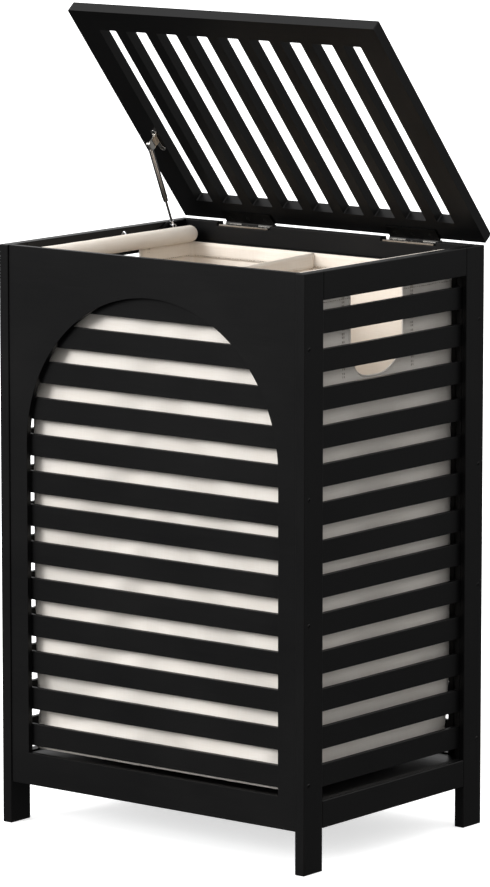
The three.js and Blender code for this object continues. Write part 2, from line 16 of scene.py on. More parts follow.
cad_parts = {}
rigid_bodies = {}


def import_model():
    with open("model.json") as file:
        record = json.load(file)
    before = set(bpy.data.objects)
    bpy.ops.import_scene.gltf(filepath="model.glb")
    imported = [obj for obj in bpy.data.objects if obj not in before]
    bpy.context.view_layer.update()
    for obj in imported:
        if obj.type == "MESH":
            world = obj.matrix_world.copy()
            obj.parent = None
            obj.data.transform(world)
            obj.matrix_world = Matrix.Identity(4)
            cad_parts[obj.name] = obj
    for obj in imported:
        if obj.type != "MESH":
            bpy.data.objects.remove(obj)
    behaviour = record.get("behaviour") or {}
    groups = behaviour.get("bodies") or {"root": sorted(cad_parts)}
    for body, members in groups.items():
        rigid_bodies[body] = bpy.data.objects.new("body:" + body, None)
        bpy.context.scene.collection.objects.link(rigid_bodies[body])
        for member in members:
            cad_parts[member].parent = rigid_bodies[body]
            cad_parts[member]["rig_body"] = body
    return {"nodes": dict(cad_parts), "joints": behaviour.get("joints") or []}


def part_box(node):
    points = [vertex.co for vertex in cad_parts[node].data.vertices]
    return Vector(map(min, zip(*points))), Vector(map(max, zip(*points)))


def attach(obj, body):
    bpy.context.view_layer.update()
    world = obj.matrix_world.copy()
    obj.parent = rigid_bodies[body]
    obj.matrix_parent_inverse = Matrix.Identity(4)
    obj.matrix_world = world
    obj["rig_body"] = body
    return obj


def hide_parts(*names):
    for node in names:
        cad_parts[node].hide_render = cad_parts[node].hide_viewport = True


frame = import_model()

LOG = logging.getLogger("hamper")
MM = 0.001
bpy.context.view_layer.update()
AXIS_X = Vector((1, 0, 0))
AXIS_Y = Vector((0, 1, 0))
AXIS_Z = Vector((0, 0, 1))
TOUCH = 0.1 * MM  # two places closer than this are the same place
Colour = Sequence[float] | NodeSocket


# ---- shader arithmetic


class Number:
    """A number that changes over a surface: a shader socket that works in Python expressions."""

    def __init__(self, shader: "Shader", socket: NodeSocket) -> None:
        """Wraps one output socket of a shader's node."""
        self.shader, self.socket = shader, socket

    def maths(self, operation: str, *values: "Number | float") -> "Number":
        """Adds one Math node.

        Args:
            operation: the Math node's operation.
            values: what goes into its sockets, in order.

        Returns:
            The node's result.
        """
        inputs = dict(enumerate(values))
        return self.shader.number("ShaderNodeMath", {"operation": operation}, inputs)

    def __add__(self, other: "Number | float") -> "Number":
        """The sum."""
        return self.maths("ADD", self, other)

    def __sub__(self, other: "Number | float") -> "Number":
        """The difference."""
        return self.maths("SUBTRACT", self, other)

    def __rsub__(self, other: float) -> "Number":
        """The difference, taken from a plain number."""
        return self.maths("SUBTRACT", other, self)

    def __mul__(self, other: "Number | float") -> "Number":
        """The product."""
        return self.maths("MULTIPLY", self, other)

    __radd__ = __add__
    __rmul__ = __mul__

    def sine(self) -> "Number":
        """The sine of an angle in radians."""
        return self.maths("SINE", self)

    def step(self, low: float, high: float) -> "Number":
        """A smooth rise from 0 at low to 1 at high."""
        settings = {"interpolation_type": "SMOOTHSTEP"}
        inputs = {"Value": self, "From Min": low, "From Max": high}
        return self.shader.number("ShaderNodeMapRange", settings, inputs)


class Shader:
    """A material or a world under construction: its node tree, and the one way that nodes join it."""

    def __init__(self, name: str, kind: str = "materials") -> None:
        """Starts an empty tree with that name, of that kind in the file."""
        self.owner = getattr(bpy.data, kind).new(name)
        self.owner.use_nodes = True
        self.tree = self.owner.node_tree
        self.tree.nodes.clear()

    def node(self, kind: str, settings: dict, inputs: dict) -> Node:
        """Adds one node.

        Args:
            kind: the node's type name.
            settings: its properties, set before its sockets.
            inputs: a value, a Number or an output socket for each input socket.

        Returns:
            The new node.
        """
        made = self.tree.nodes.new(kind)
        for name, value in settings.items():
            setattr(made, name, value)
        for key, value in inputs.items():
            if isinstance(value, Number):
                value = value.socket
            if isinstance(value, NodeSocket):
                self.tree.links.new(value, made.inputs[key])
            else:
                made.inputs[key].default_value = value
        return made

    def number(self, kind: str, settings: dict, inputs: dict) -> Number:
        """Adds a node and wraps its first output."""
        return Number(self, self.node(kind, settings, inputs).outputs[0])

    def place(self, stretch: Sequence[float] = (1, 1, 1)) -> NodeSocket:
        """The point in the object's own coordinates, scaled along each axis."""
        point = self.node("ShaderNodeTexCoord", {}, {}).outputs["Object"]
        inputs = {"Vector": point, "Scale": stretch}
        return self.node("ShaderNodeMapping", {}, inputs).outputs[0]

    def part(self, vector: NodeSocket, axis: int) -> Number:
        """One of a vector's three numbers."""
        return Number(self, self.node("ShaderNodeSeparateXYZ", {}, {0: vector}).outputs[axis])

    def cloud(self, point: NodeSocket, per_metre: float, detail: float = 2) -> Number:
        """Smooth noise from 0 to 1, with that many features in a metre."""
        inputs = {"Vector": point, "Scale": per_metre, "Detail": detail}
        return self.number("ShaderNodeTexNoise", {}, inputs)

    def attribute(self, name: str) -> Number:
        """A number that is stored on the mesh."""
        made = self.node("ShaderNodeAttribute", {"attribute_name": name}, {})
        return Number(self, made.outputs["Fac"])

    def blend(self, share: Number, first: "Colour", second: "Colour") -> NodeSocket:
        """The colour that goes from first to second as share goes from 0 to 1."""
        ends = [c if isinstance(c, NodeSocket) else (*c, 1) for c in (first, second)]
        inputs = {0: share, 6: ends[0], 7: ends[1]}
        return self.node("ShaderNodeMix", {"data_type": "RGBA"}, inputs).outputs[2]

    def relief(self, height: Number, strength: float, depth: float) -> NodeSocket:
        """The surface normal over a bumpy height from 0 to 1."""
        inputs = {"Height": height, "Strength": strength, "Distance": depth}
        return self.node("ShaderNodeBump", {}, inputs).outputs[0]

    def surface(self, **inputs: object) -> Material:
        """Closes the material with a Principled surface.

        Args:
            inputs: its sockets by name, with an underscore for each space.

        Returns:
            The finished material.
        """
        named = {key.replace("_", " "): value for key, value in inputs.items()}
        shader = self.node("ShaderNodeBsdfPrincipled", {}, named)
        self.node("ShaderNodeOutputMaterial", {}, {"Surface": shader.outputs[0]})
        return self.owner


# ---- finishes


class Grain(Enum):
    """The way that a painted board's grain runs, as the stretch of its noise along X, Y and Z."""

    ACROSS = (0.05, 1.0, 1.0)
    DEEP = (1.0, 0.05, 1.0)
    UPRIGHT = (1.0, 1.0, 0.05)


@dataclass(frozen=True)
class SatinPaint:
    """Black satin paint over planed wood, through which a little of the grain still shows; its rounded
    arrises are lightened, partly thin paint and partly a painted highlight.
    """

    grain: Grain
    deep: tuple[float, float, float] = (0.0030, 0.0030, 0.0032)
    # The lighter tone: random wear, and the painted highlight along the arrises.
    wear_and_sheen: tuple[float, float, float] = (0.0068, 0.0065, 0.0062)
    gloss: float = 0.16
    roughness: float = 0.4

    @functools.cache
    def material(self) -> Material:
        """Builds the paint once for each direction of grain."""
        shader = Shader(f"black_satin_paint_{self.grain.name.lower()}")
        along = shader.place(self.grain.value)
        plain = shader.place()
        fibres = shader.cloud(along, 420, 5)
        rings = shader.cloud(along, 46, 3)
        brushed = shader.cloud(plain, 7, 3)
        stipple = shader.cloud(plain, 1500, 2)
        arris = shader.attribute("arris")
        # The arris term lightens the rounded edges, partly thin paint and partly a painted highlight; the
        # brushed and fibre terms are random wear.
        wear_and_sheen = brushed.step(0.35, 0.9) * 0.35 + fibres * 0.25 + arris * 0.45
        rough = self.roughness + (brushed - 0.5) * 0.16 + (fibres - 0.5) * 0.1 - arris * 0.08
        height = fibres * 0.5 + rings * 0.3 + stipple * 0.2
        return shader.surface(
            Base_Color=shader.blend(wear_and_sheen, self.deep, self.wear_and_sheen),
            Roughness=rough,
            Specular_IOR_Level=self.gloss,
            Normal=shader.relief(height, 0.16, 0.35 * MM),
        )


@dataclass(frozen=True)
class Metal:
    """A bare or plated metal with fine scratches and a slightly clouded polish, darkened to black beyond
    given heights as painted shade.
    """

    name: str
    colour: tuple[float, float, float]
    shade: tuple[float, float, float]
    roughness: float
    # Painted shade: the heights between which the metal goes from black to plain, standing in for dark
    # surroundings mirrored in it.
    painted_shade_heights: tuple[float, float] = (-1.0, -0.9)  # heights where it is black and where it is bright
    brushed: tuple[float, float, float] = (1.0, 0.12, 1.0)

    @functools.cache
    def material(self) -> Material:
        """Builds the metal's material once."""
        shader = Shader(self.name)
        scratches = shader.cloud(shader.place(self.brushed), 1600, 3)
        clouding = shader.cloud(shader.place(), 90, 3)
        rough = self.roughness + (clouding - 0.5) * 0.06 + (scratches - 0.5) * 0.04
        # Painted shade: the metal is blended towards black by height.
        dark = 1 - shader.part(shader.place(), 2).step(*self.painted_shade_heights)
        polish = shader.blend(clouding.step(0.3, 0.75), self.colour, self.shade)
        return shader.surface(
            Base_Color=shader.blend(dark * 0.93, polish, (0.012, 0.012, 0.012)),
            Roughness=rough,
            Metallic=1.0,
            Normal=shader.relief(scratches, 0.03, 0.02 * MM),
        )


@dataclass(frozen=True)
class Beech:
    """Plain turned beech, with pale and pinkish streaks and short dark flecks."""

    @functools.cache
    def material(self) -> Material:
        """Builds the wood once."""
        shader = Shader("turned_beech")
        along = shader.place(Grain.DEEP.value)
        streaks = shader.cloud(along, 260, 5)
        flecks = shader.cloud(shader.place((1, 0.2, 1)), 1400, 2).step(0.62, 0.7)
        tone = streaks * 0.7 + flecks * 0.3
        return shader.surface(
            Base_Color=shader.blend(tone, (0.60, 0.40, 0.24), (0.36, 0.20, 0.10)),
            Roughness=0.5 + streaks * 0.18,
            Normal=shader.relief(streaks, 0.2, 0.15 * MM),
        )


@dataclass(frozen=True)
class Canvas:
    """Undyed cotton canvas: a plain weave with slubs, faint shading and a soft nap."""

    name: str = "undyed_canvas"
    pale: tuple[float, float, float] = (0.885, 0.845, 0.79)
    deep: tuple[float, float, float] = (0.80, 0.735, 0.655)
    thread: float = 0.95 * MM

    @functools.cache
    def material(self) -> Material:
        """Builds the cloth once. It follows the cloth's own flat cut, in metres."""
        shader = Shader(self.name)
        flat = shader.node("ShaderNodeUVMap", {"uv_map": "cut"}, {}).outputs[0]
        turns = math.pi / self.thread
        warp, weft = ((shader.part(flat, axis) * turns).sine() for axis in (0, 1))
        over = warp * weft * 0.5 + 0.5
        ways = [
            shader.node("ShaderNodeMapping", {}, {"Vector": flat, "Scale": scale}).outputs[0]
            for scale in ((0.04, 1, 1), (1, 0.04, 1))
        ]
        slubs = shader.cloud(ways[0], 900, 3) * 0.6 + shader.cloud(ways[1], 900, 3) * 0.4
        soft = shader.cloud(shader.place(), 14, 3)
        nap = shader.cloud(flat, 3000, 2)
        tone = slubs.step(0.3, 0.75) * 0.5 + soft.step(0.3, 0.8) * 0.25 + (1 - over) * 0.15
        height = over * 0.55 + slubs * 0.3 + nap * 0.15
        return shader.surface(
            Base_Color=shader.blend(tone, self.pale, self.deep),
            Roughness=0.86 + (slubs - 0.5) * 0.16,
            Specular_IOR_Level=0.25,
            Sheen_Weight=0.12,
            Normal=shader.relief(height, 0.35, 0.3 * MM),
        )


@dataclass(frozen=True)
class Thread:
    """Twisted cotton sewing thread, a shade darker than the canvas."""

    @functools.cache
    def material(self) -> Material:
        """Builds the thread once."""
        shader = Shader("cotton_thread")
        twist = shader.cloud(shader.place(), 2600, 2)
        return shader.surface(
            Base_Color=shader.blend(twist, (0.40, 0.34, 0.27), (0.27, 0.22, 0.17)),
            Roughness=0.75 + twist * 0.15,
            Normal=shader.relief(twist, 0.4, 0.1 * MM),
        )


NICKEL = Metal("satin_nickel", (0.60, 0.58, 0.55), (0.50, 0.48, 0.45), 0.14)
# Painted shade: the hinge's body leaf and pin go black above 0.6877 m, standing in for the dark lid underside
# mirrored in the leaf's top.
LEAF_NICKEL = Metal("leaf_nickel", NICKEL.colour, NICKEL.shade, NICKEL.roughness, (0.6877, 0.6873))
CHROME = Metal("bright_chrome", (0.72, 0.72, 0.73), (0.6, 0.6, 0.61), 0.09)
# Painted shade: the stay's tube and rod are black below 0.71 m and plain above 0.78 m, standing in for dark
# surroundings mirrored in their lower part.
STAY_CHROME = Metal("darkened_chrome", CHROME.colour, CHROME.shade, 0.12, (0.71, 0.78))
ZINC = Metal("bright_zinc", (0.88, 0.88, 0.90), (0.78, 0.78, 0.80), 0.3)
BLACK_STEEL = Metal("blackened_steel", (0.010, 0.010, 0.0105), (0.02, 0.019, 0.018), 0.4)
SCREW_STEEL = Metal("black_screw_steel", (0.02, 0.02, 0.02), (0.045, 0.044, 0.043), 0.3)


# ---- shared mesh work


def to_object(name: str, shape: BMesh, finish: Material) -> Object:
    """Turns a finished bmesh into an object at the origin.

    Args:
        name: the piece's name.
        shape: its shape, freed here.
        finish: its material.

    Returns:
        The object, smooth shaded.
    """
    mesh = bpy.data.meshes.new(name)
    shape.to_mesh(mesh)
    shape.free()
    mesh.shade_smooth()
    mesh.materials.append(finish)
    made = bpy.data.objects.new(name, mesh)
    bpy.context.scene.collection.objects.link(made)
    return made


def opened(mesh: Mesh) -> BMesh:
    """A bmesh with a mesh's shape."""
    shape = bmesh.new()
    shape.from_mesh(mesh)
    return shape


def only(kind: type, geometry: Iterable[object]) -> list:
    """The parts of an operator's result that are of one kind."""
    return [part for part in geometry if isinstance(part, kind)]


def settle(piece: Object, body: str, slot: str, *stands_for: str) -> None:
    """Gives a piece its body and the nodes that it stands for, and reports it."""
    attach(piece, body)
    if stands_for:
        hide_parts(*stands_for)
    LOG.info("%s rides on %s and stands for %s", piece.name, body, ", ".join(stands_for) or "nothing")


def weigh_normals(piece: Object) -> None:
    """Lets the large flat faces set the shading, so that rounded arrises stay crisp."""
    modifier = piece.modifiers.new("even shading", "WEIGHTED_NORMAL")
    modifier.keep_sharp = True
    modifier.weight = 90


def folds_of(shape: BMesh, sharp: float) -> list[BMEdge]:
    """The edges that fold by more than sharp degrees."""
    shared = (e for e in shape.edges if len(e.link_faces) == 2)
    return [e for e in shared if e.calc_face_angle() > math.radians(sharp)]


def eased_copy(node: str, radius: float, segments: int = 3, sharp: float = 40) -> BMesh:
    """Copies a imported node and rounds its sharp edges.

    Args:
        node: the node's name.
        radius: how far each rounding reaches from its edge, in metres.
        segments: the rounding's steps.
        sharp: the least fold between two faces that is rounded, in degrees.

    Returns:
        The copy, with the attribute arris at 1 on its roundings.
    """
    shape = opened(frame["nodes"][node].data)
    bmesh.ops.remove_doubles(shape, verts=shape.verts, dist=0.01 * MM)
    bmesh.ops.dissolve_limit(shape, angle_limit=math.radians(0.5), verts=shape.verts, edges=shape.edges)
    rounded = bmesh.ops.bevel(
        shape, geom=folds_of(shape, sharp), offset=radius, offset_type="OFFSET", segments=segments,
        profile=0.5, affect="EDGES", clamp_overlap=True, loop_slide=False, material=-1,
    )
    mark = shape.loops.layers.float.new("arris")
    for face in rounded["faces"]:
        for loop in face.loops:
            loop[mark] = 1.0
    return shape


def node_body(node: str) -> str:
    """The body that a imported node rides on."""
    return frame["nodes"][node]["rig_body"]


def middle(node: str) -> Vector:
    """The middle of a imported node's box."""
    low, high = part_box(node)
    return (low + high) / 2


def tube_along(points: Sequence[Vector], radius: float, closed: bool) -> BMesh:
    """A round bar along a line.

    Args:
        points: the line, in metres.
        radius: the bar's radius.
        closed: whether the line is a ring.

    Returns:
        The bar's shape, with its ends shut where it isn't a ring.
    """
    line = bpy.data.curves.new("line", "CURVE")
    line.dimensions = "3D"
    spline = line.splines.new("POLY")
    spline.points.add(len(points) - 1)
    for spot, point in zip(spline.points, points):
        spot.co = (*point, 1)
    spline.use_cyclic_u = closed
    line.bevel_depth = radius
    line.bevel_resolution = 2
    line.use_fill_caps = True
    holder = bpy.data.objects.new("line", line)
    mesh = bpy.data.meshes.new_from_object(holder)
    shape = opened(mesh)
    bmesh.ops.remove_doubles(shape, verts=shape.verts, dist=0.001 * MM)
    bmesh.ops.recalc_face_normals(shape, faces=shape.faces)
    bpy.data.objects.remove(holder)
    bpy.data.meshes.remove(mesh)
    return shape


def merge_into(target: BMesh, part: BMesh) -> None:
    """Adds one bmesh to another and frees it."""
    mesh = bpy.data.meshes.new("part")
    part.to_mesh(mesh)
    part.free()
    target.from_mesh(mesh)
    bpy.data.meshes.remove(mesh)


def faces_of(piece: Object, kept: Callable[[list[float]], bool]) -> BMesh:
    """Copies some of a hung cloth's faces.

    Args:
        piece: the cloth.
        kept: tests a face by the heights of its corners before the cloth hung.

    Returns:
        The faces that pass.
    """
    shape = opened(piece.data)
    place = shape.verts.layers.float_vector["unhung"]
    gone = [f for f in shape.faces if not kept([v[place].z for v in f.verts])]
    bmesh.ops.delete(shape, geom=gone, context="FACES")
    shape.normal_update()
    return shape


# ---- painted boards


@dataclass
class Boards:
    """Every painted board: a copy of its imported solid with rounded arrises."""

    arris: float = 1.0 * MM
    slat_arris: float = 0.8 * MM
    lid_arris: float = 0.9 * MM

    def grain_of(self, node: str) -> Grain:
        """The grain runs along a board's longest side, and across a slatted board's slats."""
        if node in ("left_slat_board", "right_slat_board"):
            return Grain.DEEP
        if node in ("back_slat_board", "front_arch_board", "lid_board"):
            return Grain.ACROSS
        low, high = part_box(node)
        size = high - low
        return (Grain.ACROSS, Grain.DEEP, Grain.UPRIGHT)[max(range(3), key=lambda axis: size[axis])]

    def radius_of(self, node: str) -> float:
        """The rounding that suits a board's thickness."""
        if node == "lid_board":
            return self.lid_arris
        return self.slat_arris if "slat" in node or "bottom_board" in node else self.arris

    def build(self) -> None:
        """Makes every board of the cabinet and the lid."""
        words = ("leg", "rail", "stile", "board", "slat")
        for node in sorted(frame["nodes"]):
            if not any(word in node for word in words):
                continue
            shape = eased_copy(node, self.radius_of(node))
            piece = to_object(f"{node}_painted", shape, SatinPaint(self.grain_of(node)).material())
            weigh_normals(piece)
            settle(piece, node_body(node), "satin_black_paint", node)


# ---- metalwork


class Recess(Enum):
    """The hollow in a screw's head: its corners, and its size as a share of the head."""

    HEX = (6, 0.46)
    CROSS = (12, 0.56)


@dataclass
class Screw:
    """The head of a screw, standing just proud of what it holds."""

    radius: float
    recess: Recess
    proud: float
    sides: int = 24
    taper: float = 0.78
    waist: float = 0.36
    seat: float = 0.2 * MM
    pit: float = 0.1 * MM

    def _hollow(self, shape: BMesh) -> list[BMVert]:
        """The ring of the hollow's mouth: a hexagon, or a cross with narrow arms."""
        count, share = self.recess.value
        size = self.radius * share
        ring = bmesh.ops.create_circle(shape, segments=count, radius=size, cap_ends=False)["verts"]
        if self.recess is Recess.CROSS:
            half = Matrix.Rotation(math.pi / count, 3, "Z")
            bmesh.ops.rotate(shape, verts=ring, matrix=half, cent=(0, 0, 0))
            for vert in ring:
                turn = math.degrees(math.atan2(vert.co.y, vert.co.x)) % 90
                if 30 < turn < 60:
                    vert.co *= self.waist
        return ring

    def head(self, place: Vector, out: Vector) -> BMesh:
        """One head.

        Args:
            place: the point of the surface under its middle.
            out: the way that it faces.

        Returns:
            Its shape, in place.
        """
        shape = bmesh.new()
        rim = bmesh.ops.create_circle(shape, segments=self.sides, radius=self.radius)["verts"]
        raised = bmesh.ops.extrude_edge_only(shape, edges=list(shape.edges))["geom"]
        top, crown = only(BMVert, raised), only(BMEdge, raised)
        bmesh.ops.scale(shape, verts=top, vec=(self.taper, self.taper, 1))
        bmesh.ops.translate(shape, verts=top, vec=(0, 0, self.proud))
        bmesh.ops.translate(shape, verts=rim, vec=(0, 0, -self.seat))
        mouth = self._hollow(shape)
        bmesh.ops.translate(shape, verts=mouth, vec=(0, 0, self.proud))
        lips = list(dict.fromkeys(e for v in mouth for e in v.link_edges))
        bmesh.ops.bridge_loops(shape, edges=crown + lips)
        sunk = bmesh.ops.extrude_edge_only(shape, edges=lips)["geom"]
        bmesh.ops.translate(shape, verts=only(BMVert, sunk), vec=(0, 0, -self.proud - self.pit))
        bmesh.ops.holes_fill(shape, edges=only(BMEdge, sunk), sides=0)
        bmesh.ops.holes_fill(shape, edges=shape.edges, sides=0)
        bmesh.ops.recalc_face_normals(shape, faces=shape.faces)
        turn = out.to_track_quat("Z", "Y").to_matrix().to_4x4()
        bmesh.ops.transform(shape, matrix=Matrix.Translation(place) @ turn, verts=shape.verts)
        return shape


def screw_set(
    name: str, screw: Screw, places: Iterable[Vector], out: Vector, finish: Metal, body: str, slot: str
) -> None:
    """Makes a group of like screws as one piece.

    Args:
        name: the piece's name.
        screw: the screw they all are.
        places: where each head sits.
        out: the way that they face.
        finish: their metal.
        body: the body that they ride on.
        slot: the material slot named for them; not used.
    """
    shape = bmesh.new()
    for place in places:
        merge_into(shape, screw.head(place, out))
    piece = to_object(name, shape, finish.material())
    piece.data.set_sharp_from_angle(angle=math.radians(35))
    settle(piece, body, slot)


@dataclass
class Fittings:
    """The hinges, the lid stay, the wire hooks, the dowels and every screw."""

    edge: float = 0.25 * MM
    hinge_screw: Screw = field(default_factory=lambda: Screw(2.9 * MM, Recess.CROSS, 0.28 * MM))
    frame_screw: Screw = field(default_factory=lambda: Screw(2.6 * MM, Recess.HEX, 0.35 * MM))
    frame_screw_heights: tuple[float, ...] = (0.6036, 0.4326, 0.2885, 0.1039)
    frame_screw_inset: float = 9.0 * MM
    hinge_screw_share: float = 0.7
    leaf: float = 2.0 * MM
    knuckles: float = 5.9 * MM
    lid_screw_place: tuple[float, float] = (9.6 * MM, -0.4 * MM)

    finishes = {
        "hinge_body_leaf": (LEAF_NICKEL, "nickel_plate"),
        # Painted shade: the lid's leaf is blackened steel, darker than the nickel body leaf of the same
        # hinge, standing in for its dark reflection under the lid.
        "hinge_lid_leaf": (BLACK_STEEL, "black_steel"),
        "hinge_pin": (LEAF_NICKEL, "nickel_plate"),
        "stay_lid_bracket": (NICKEL, "nickel_plate"),
        "stay_body_bracket": (BLACK_STEEL, "black_steel"),
        "stay_lower_eye": (CHROME, "nickel_plate"),
        "stay_upper_eye": (NICKEL, "nickel_plate"),
        "stay_rod": (STAY_CHROME, "nickel_plate"),
        "stay_tube": (STAY_CHROME, "nickel_plate"),
        "hook": (ZINC, "nickel_plate"),
    }

    def _plated_pieces(self) -> None:
        """Copies each metal node with its edges eased."""
        for node in sorted(frame["nodes"]):
            found = next((key for key in self.finishes if key in node), None)
            if found is None:
                continue
            metal, slot = self.finishes[found]
            piece = to_object(f"{node}_plated", eased_copy(node, self.edge, 2, 50), metal.material())
            weigh_normals(piece)
            settle(piece, node_body(node), slot, node)

    def _frame_screws(self) -> None:
        """The countersunk bolts in the outer faces of the four legs."""
        for side, word in ((-1, "left"), (1, "right")):
            places = []
            for end in ("front", "back"):
                low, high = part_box(f"{end}_{word}_leg")
                y = low.y + self.frame_screw_inset if end == "front" else high.y - self.frame_screw_inset
                x = high.x if side > 0 else low.x
                places += [Vector((x, y, z)) for z in self.frame_screw_heights]
            screw_set(f"{word}_frame_screws", self.frame_screw, places, side * AXIS_X, SCREW_STEEL,
                      "cabinet", "black_steel")

    def _hinge_screws(self) -> None:
        """Three screws in each hinge leaf. The lid's leaf faces down and forwards, square to the lid."""
        joint = next(j for j in frame["joints"] if j["name"] == "lid_hinge")
        pivot = Vector(joint["pos_m"])
        slope = math.radians(joint["range_deg"][1])
        down = Vector((0, -math.sin(slope), -math.cos(slope)))
        along = Vector((0, -math.cos(slope), math.sin(slope)))
        up_lid, off_lid = self.lid_screw_place
        for word in ("left", "right"):
            low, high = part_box(f"{word}_hinge_body_leaf")
            spread = (high.x - low.x) / 2 * self.hinge_screw_share
            steps = [(low.x + high.x) / 2 + k * spread for k in (-1, 0, 1)]
            y = (low.y + high.y - self.knuckles) / 2
            places = [Vector((x, y, low.z + self.leaf)) for x in steps]
            screw_set(f"{word}_hinge_body_screws", self.hinge_screw, places, AXIS_Z, NICKEL,
                      "cabinet", "nickel_plate")
            spot = pivot + along * up_lid + down * off_lid
            places = [Vector((x, spot.y, spot.z)) for x in steps]
            # The lid's screws are dark to match its blackened leaf, part of the same painted shade.
            screw_set(f"{word}_hinge_lid_screws", self.hinge_screw, places, down, SCREW_STEEL,
                      "lid", "black_steel")

    def build(self) -> None:
        """Makes every metal piece and both dowels."""
        self._plated_pieces()
        self._frame_screws()
        self._hinge_screws()
        for node in ("left_dowel", "right_dowel"):
            piece = to_object(f"{node}_turned", eased_copy(node, 0.8 * MM), Beech().material())
            weigh_normals(piece)
            settle(piece, "cabinet", "beech", node)


# ---- liner


CLOTH_GRAVITY = 0.35
CANVAS_CLOTH = {
    "quality": 5,
    "mass": 0.12,
    "tension_stiffness": 22,
    "compression_stiffness": 22,
    "shear_stiffness": 8,
    "bending_stiffness": 0.8,
    "use_pressure": False,
}

@dataclass
class Liner:
    """The canvas bag: walls and base, a sleeve round each dowel, a divider, hems, bindings and seams."""

    columns: float = 11 * MM
    row: float = 9 * MM
    corner: float = 6 * MM
    base_corner: float = 4.5 * MM
    hem: float = 18 * MM
    cloth: float = 0.8 * MM
    wall_beyond_dowel: float = 6 * MM
    window_half: float = 51 * MM
    window_height: float = 110 * MM
    window_corner: float = 42 * MM
    window_share: float = 0.93
    most_out: float = 4.5 * MM
    most_in: float = 7 * MM
    most_down: float = 4 * MM
    bag_spare: float = 0.012
    bag_steps: int = 26
    divider_spare: float = 0.008
    divider_steps: int = 20
    divider_sway: float = 1.5 * MM
    divider_sag: float = 2.0 * MM
    sleeve_sides: int = 36
    sleeve_steps: int = 64
    sleeve_end: float = 8 * MM
    sleeve_least: float = 0.1
    sleeve_slack: float = 0.03
    keel_reach: float = 0.96
    keel_sharpness: int = 40
    binding: float = 1.3 * MM
    piping: float = 1.2 * MM
    stitch: float = 3.2 * MM
    stitch_gap: float = 0.7 * MM
    thread: float = 0.42 * MM
    beside_seam: float = 1.5 * MM
    below_hem: float = 1.6 * MM
    band: float = 14 * MM

    def __post_init__(self) -> None:
        """Takes the bag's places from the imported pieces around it."""
        bag_low, bag_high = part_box("liner_bag")
        self.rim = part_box("liner_divider")[1].z
        self.axis = middle("right_dowel")
        half = self.axis.x + self.wall_beyond_dowel
        self.low = Vector((-half, bag_low.y, bag_low.z))
        self.high = Vector((half, bag_high.y, self.rim))
        self.sleeve_radius = bag_high.x - self.axis.x
        self.divider_x = middle("liner_divider").x
        self.window_y = (self.low.y + self.high.y) / 2
        self.canvas = Canvas().material()
        # A warmer, darker copy of the canvas: painted shade standing in for light bounced round inside the
        # bag. It dresses the inner faces of the walls and base, the hem, the sleeves and the divider.
        self.painted_bounce = Canvas("painted_bounce_canvas", (0.90, 0.83, 0.745), (0.82, 0.72, 0.61)).material()

    # ---- the cut and its places

    def _divide(self, shape: BMesh, places: Iterable[float], way: Vector) -> None:
        """Cuts every face along planes square to way, at those places."""
        for place in places:
            everything = [*shape.verts, *shape.edges, *shape.faces]
            bmesh.ops.bisect_plane(
                shape, geom=everything, dist=0.001 * MM, plane_co=way * place, plane_no=way
            )

    @staticmethod
    def _even(start: float, end: float, pitch: float) -> list[float]:
        """Evenly spaced places strictly between start and end, about pitch apart."""
        count = max(1, round((end - start) / pitch))
        return [start + (end - start) * k / count for k in range(1, count)]

    def _shell(self) -> BMesh:
        """The open box of cloth, with rounded corners, in even squares."""
        shape = bmesh.new()
        size = self.high - self.low
        matrix = Matrix.LocRotScale((self.low + self.high) / 2, None, size)
        bmesh.ops.create_cube(shape, size=1.0, matrix=matrix)
        shape.normal_update()
        bmesh.ops.delete(shape, geom=[f for f in shape.faces if f.normal.z > 0.9], context="FACES_ONLY")
        for upright, radius in ((True, self.corner), (False, self.base_corner)):
            folds = [
                e for e in folds_of(shape, 60)
                if (abs(e.verts[0].co.z - e.verts[1].co.z) > self.corner) == upright
            ]
            bmesh.ops.bevel(
                shape, geom=folds, offset=radius, offset_type="OFFSET", segments=4, profile=0.5,
                affect="EDGES", material=-1,
            )
        inner_low = self.low + Vector((self.corner, self.corner, self.base_corner))
        inner_high = self.high - Vector((self.corner, self.corner, 0))
        across = self._even(inner_low.x, self.divider_x, self.columns)
        across += [self.divider_x] + self._even(self.divider_x, inner_high.x, self.columns)
        self._divide(shape, across, AXIS_X)
        self._divide(shape, self._even(inner_low.y, inner_high.y, self.columns), AXIS_Y)
        rows = int((self.rim - inner_low.z) / self.row)
        self._divide(shape, [self.rim - self.row * k for k in range(1, rows + 1)], AXIS_Z)
        self._open_windows(shape)
        shape.normal_update()
        return shape

    def _window_depth(self, point: Vector) -> float:
        """How far a point of a side wall is inside the handle window's outline, in metres."""
        bottom = self.rim - self.window_height
        r = self.window_corner
        across = abs(point.y - self.window_y)
        if point.z > bottom + r or across < self.window_half - r:
            return min(self.window_half - across, point.z - bottom)
        gap = Vector((across - (self.window_half - r), point.z - (bottom + r)))
        return r - gap.length

    def _open_windows(self, shape: BMesh) -> None:
        """Takes the faces out of both handle windows and draws their edges to the true outline."""
        sides = (f for f in shape.faces if abs(f.normal.x) > 0.95)
        gone = [f for f in sides if self._window_depth(f.calc_center_median()) > 0]
        bmesh.ops.delete(shape, geom=gone, context="FACES")
        for vert in shape.verts:
            on_edge = any(e.is_boundary for e in vert.link_edges)
            on_side = abs(abs(vert.co.x) - self.high.x) < TOUCH
            near = abs(self._window_depth(vert.co)) < self.columns
            beside = abs(abs(vert.co.y - self.window_y) - self.window_half)
            far = beside > self.columns / 2 + TOUCH and vert.co.z > self.rim - TOUCH
            if on_edge and on_side and near and not far:
                self._snap(vert)

